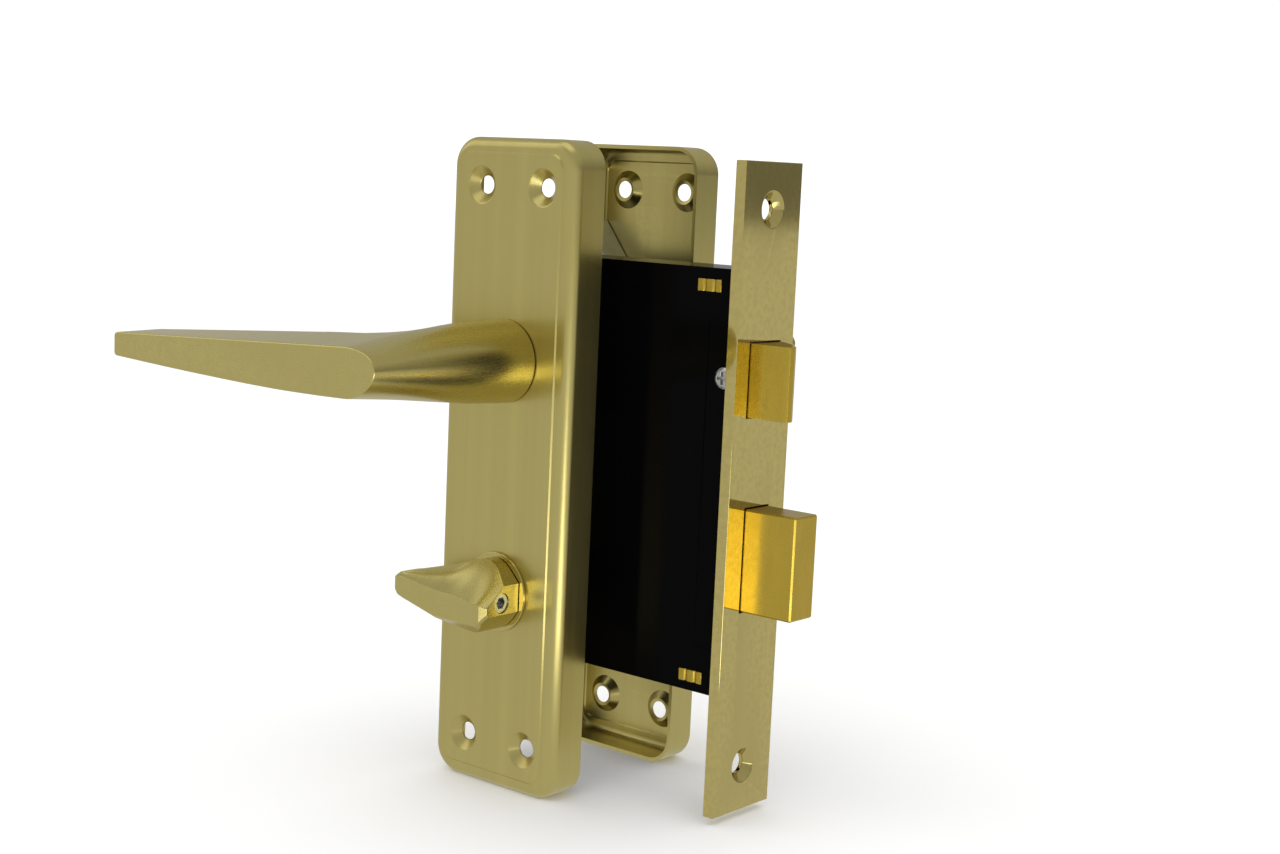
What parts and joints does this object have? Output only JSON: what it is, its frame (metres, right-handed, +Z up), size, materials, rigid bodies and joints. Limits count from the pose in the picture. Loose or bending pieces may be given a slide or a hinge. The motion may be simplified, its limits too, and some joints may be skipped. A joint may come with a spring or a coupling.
{
  "type": "mortise lock",
  "caption": "Bathroom mortise lock with sprung latch and deadbolt in a black case, brass forend, two pressed backplates, lever handles, thumbturn and coin-slot release.",
  "frame": {"origin": "middle of the forend's outer face, between its two screw holes", "axes": "+X out of the door's edge, along the bolts' throw; +Z up; +Y towards the outside face of the door"},
  "size_m": [0.1575, 0.1588, 0.16],
  "materials": {
    "satin_brass": "satin lacquered brass, brushed lengthways",
    "bright_brass": "polished brass",
    "bolt_brass": "cast brass, finely linished",
    "black_lacquer": "gloss black stoved lacquer",
    "zinc_steel": "bright zinc plated",
    "spring_steel": "drawn spring wire",
    "cast_zinc": "as-cast zinc alloy",
    "bearing_nylon": "natural nylon"
  },
  "bodies": {
    "case": {"case_body": "black_lacquer", "case_cover": "black_lacquer", "case_pillars": "bright_brass", "rear_studs": "zinc_steel", "cover_screw": "zinc_steel", "forend": "bright_brass", "forend_bracket": "zinc_steel", "latch_guide": "zinc_steel", "latch_spring": "spring_steel", "follower_spring": "spring_steel", "spring_post": "zinc_steel", "deadbolt_post": "zinc_steel", "detent_spring": "spring_steel", "inside_backplate": "satin_brass", "outside_backplate": "satin_brass", "inside_lever_bush": "bearing_nylon", "outside_lever_bush": "bearing_nylon", "inside_spring_housing": "cast_zinc", "outside_spring_housing": "cast_zinc", "inside_return_spring": "spring_steel", "outside_return_spring": "spring_steel", "turn_collar": "bright_brass", "release_collar": "bright_brass"},
    "handle": {"lever_follower": "cast_zinc", "lever_spindle": "zinc_steel", "inside_lever": "satin_brass", "outside_lever": "satin_brass", "lever_grub_screws": "zinc_steel", "inside_lever_ring": "spring_steel", "outside_lever_ring": "spring_steel", "inside_drive_collar": "cast_zinc", "outside_drive_collar": "cast_zinc"},
    "latch": {"latch_head": "bolt_brass", "latch_tail": "zinc_steel", "latch_rivet": "zinc_steel"},
    "turn": {"turn_follower": "cast_zinc", "turn_spindle": "zinc_steel", "thumbturn": "satin_brass", "turn_grub_screw": "zinc_steel", "turn_ring": "spring_steel", "emergency_release": "satin_brass", "release_ring": "spring_steel"},
    "deadbolt": {"deadbolt_head": "bolt_brass", "deadbolt_tail": "zinc_steel", "deadbolt_rivets": "zinc_steel"}
  },
  "joints": [
    {"name": "lever_turn", "type": "hinge", "parent": "case", "child": "handle", "pos_m": [-0.057, 0, 0.027], "axis": [0, -1, 0], "range_deg": [0, 42], "stiffness_Nm_per_rad": 1, "springref_deg": -25.78, "deforming": ["follower_spring", "inside_return_spring", "outside_return_spring"]},
    {"name": "latch_slide", "type": "slide", "parent": "case", "child": "latch", "axis": [-1, 0, 0], "range_m": [0, 0.011], "deforming": ["latch_spring"]},
    {"name": "thumb_turn", "type": "hinge", "parent": "case", "child": "turn", "pos_m": [-0.057, 0, -0.03], "axis": [0, -1, 0], "range_deg": [0, 90]},
    {"name": "deadbolt_slide", "type": "slide", "parent": "case", "child": "deadbolt", "axis": [-1, 0, 0], "range_m": [0, 0.0146], "deforming": ["detent_spring"]}
  ],
  "couplings": [
    {"joint": "latch_slide", "follows": "lever_turn", "m_per_rad": 0.015},
    {"joint": "deadbolt_slide", "follows": "thumb_turn", "m_per_rad": 0.00925}
  ]
}
